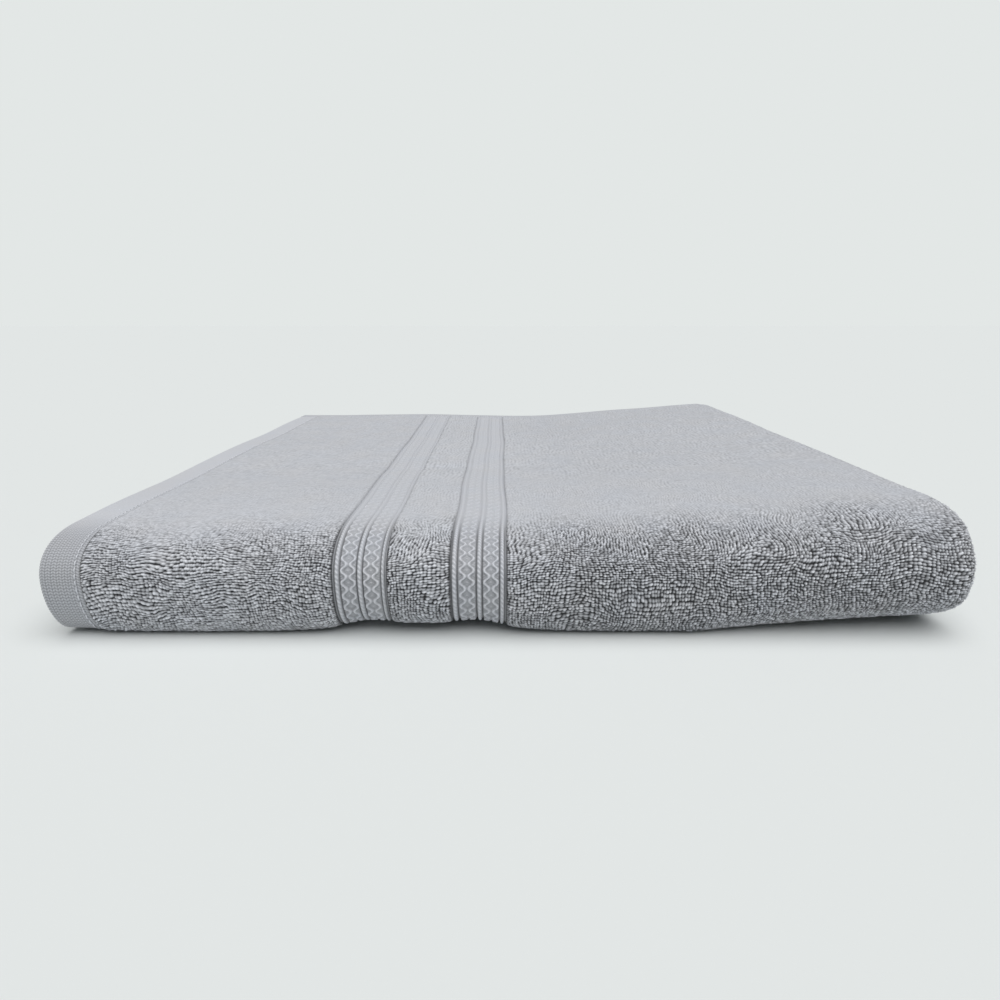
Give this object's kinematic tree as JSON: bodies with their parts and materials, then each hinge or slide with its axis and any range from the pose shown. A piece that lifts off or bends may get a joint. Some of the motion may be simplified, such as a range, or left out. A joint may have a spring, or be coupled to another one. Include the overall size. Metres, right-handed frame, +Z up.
{
  "type": "folded bath towel",
  "caption": "Terry bath towel folded into a flat stack of layers, with stitched end hems and woven borders; its top half opens over the front fold.",
  "frame": {"origin": "centre of the underside of the folded towel's bounding box", "axes": "+X along the towel's length, from the hemmed end to the rounded fold; +Y from the front fold to the back edges; +Z up, through the stack of layers"},
  "size_m": [0.375, 0.3948, 0.0493],
  "materials": {
    "terry": "matte cotton terry loops",
    "border_weave": "matte cotton, dobby-woven cords and diamonds",
    "hem_weave": "matte cotton, flat herringbone weave",
    "sewing_thread": "soft satin polyester thread"
  },
  "bodies": {
    "lower_half": {"inner_layer_terry_front": "terry", "inner_layer_terry_under": "terry", "inner_right_fold_front": "terry", "inner_right_fold_under": "terry", "left_fold_front": "terry", "left_fold_under": "terry", "outer_border_one_front": "border_weave", "outer_border_one_under": "border_weave", "outer_border_two_front": "border_weave", "outer_border_two_under": "border_weave", "outer_hem_front": "hem_weave", "outer_hem_thread_front": "sewing_thread", "outer_hem_thread_under": "sewing_thread", "outer_hem_under": "hem_weave", "outer_right_fold_front": "terry", "outer_right_fold_under": "terry", "outer_terry_end_front": "terry", "outer_terry_end_under": "terry", "outer_terry_panel_front": "terry", "outer_terry_panel_under": "terry", "outer_terry_strip_front": "terry", "outer_terry_strip_under": "terry", "second_borders_front": "border_weave", "second_borders_under": "border_weave", "second_hem_front": "hem_weave", "second_hem_thread_front": "sewing_thread", "second_hem_thread_under": "sewing_thread", "second_hem_under": "hem_weave", "second_terry_end_front": "terry", "second_terry_end_under": "terry", "second_terry_panel_front": "terry", "second_terry_panel_under": "terry", "second_terry_strip_front": "terry", "second_terry_strip_under": "terry", "side_hem_thread_under": "sewing_thread", "side_hem_under": "hem_weave", "third_layer_terry_front": "terry", "third_layer_terry_under": "terry"},
    "upper_half": {"inner_layer_terry_top": "terry", "inner_right_fold_top": "terry", "left_fold_top": "terry", "outer_border_one_top": "border_weave", "outer_border_two_top": "border_weave", "outer_hem_thread_top": "sewing_thread", "outer_hem_top": "hem_weave", "outer_right_fold_top": "terry", "outer_terry_end_top": "terry", "outer_terry_panel_top": "terry", "outer_terry_strip_top": "terry", "second_borders_top": "border_weave", "second_hem_thread_top": "sewing_thread", "second_hem_top": "hem_weave", "second_terry_end_top": "terry", "second_terry_panel_top": "terry", "second_terry_strip_top": "terry", "side_hem_thread_top": "sewing_thread", "side_hem_top": "hem_weave", "third_layer_terry_top": "terry"}
  },
  "joints": [
    {"name": "front_fold", "type": "hinge", "parent": "lower_half", "child": "upper_half", "pos_m": [0, -0.17274, 0.02465], "axis": [1, 0, 0], "range_deg": [0, 179.5], "deforming": ["inner_layer_terry_front", "inner_right_fold_front", "left_fold_front", "outer_border_one_front", "outer_border_two_front", "outer_hem_front", "outer_hem_thread_front", "outer_right_fold_front", "outer_terry_end_front", "outer_terry_panel_front", "outer_terry_strip_front", "second_borders_front", "second_hem_front", "second_hem_thread_front", "second_terry_end_front", "second_terry_panel_front", "second_terry_strip_front", "third_layer_terry_front"]}
  ]
}
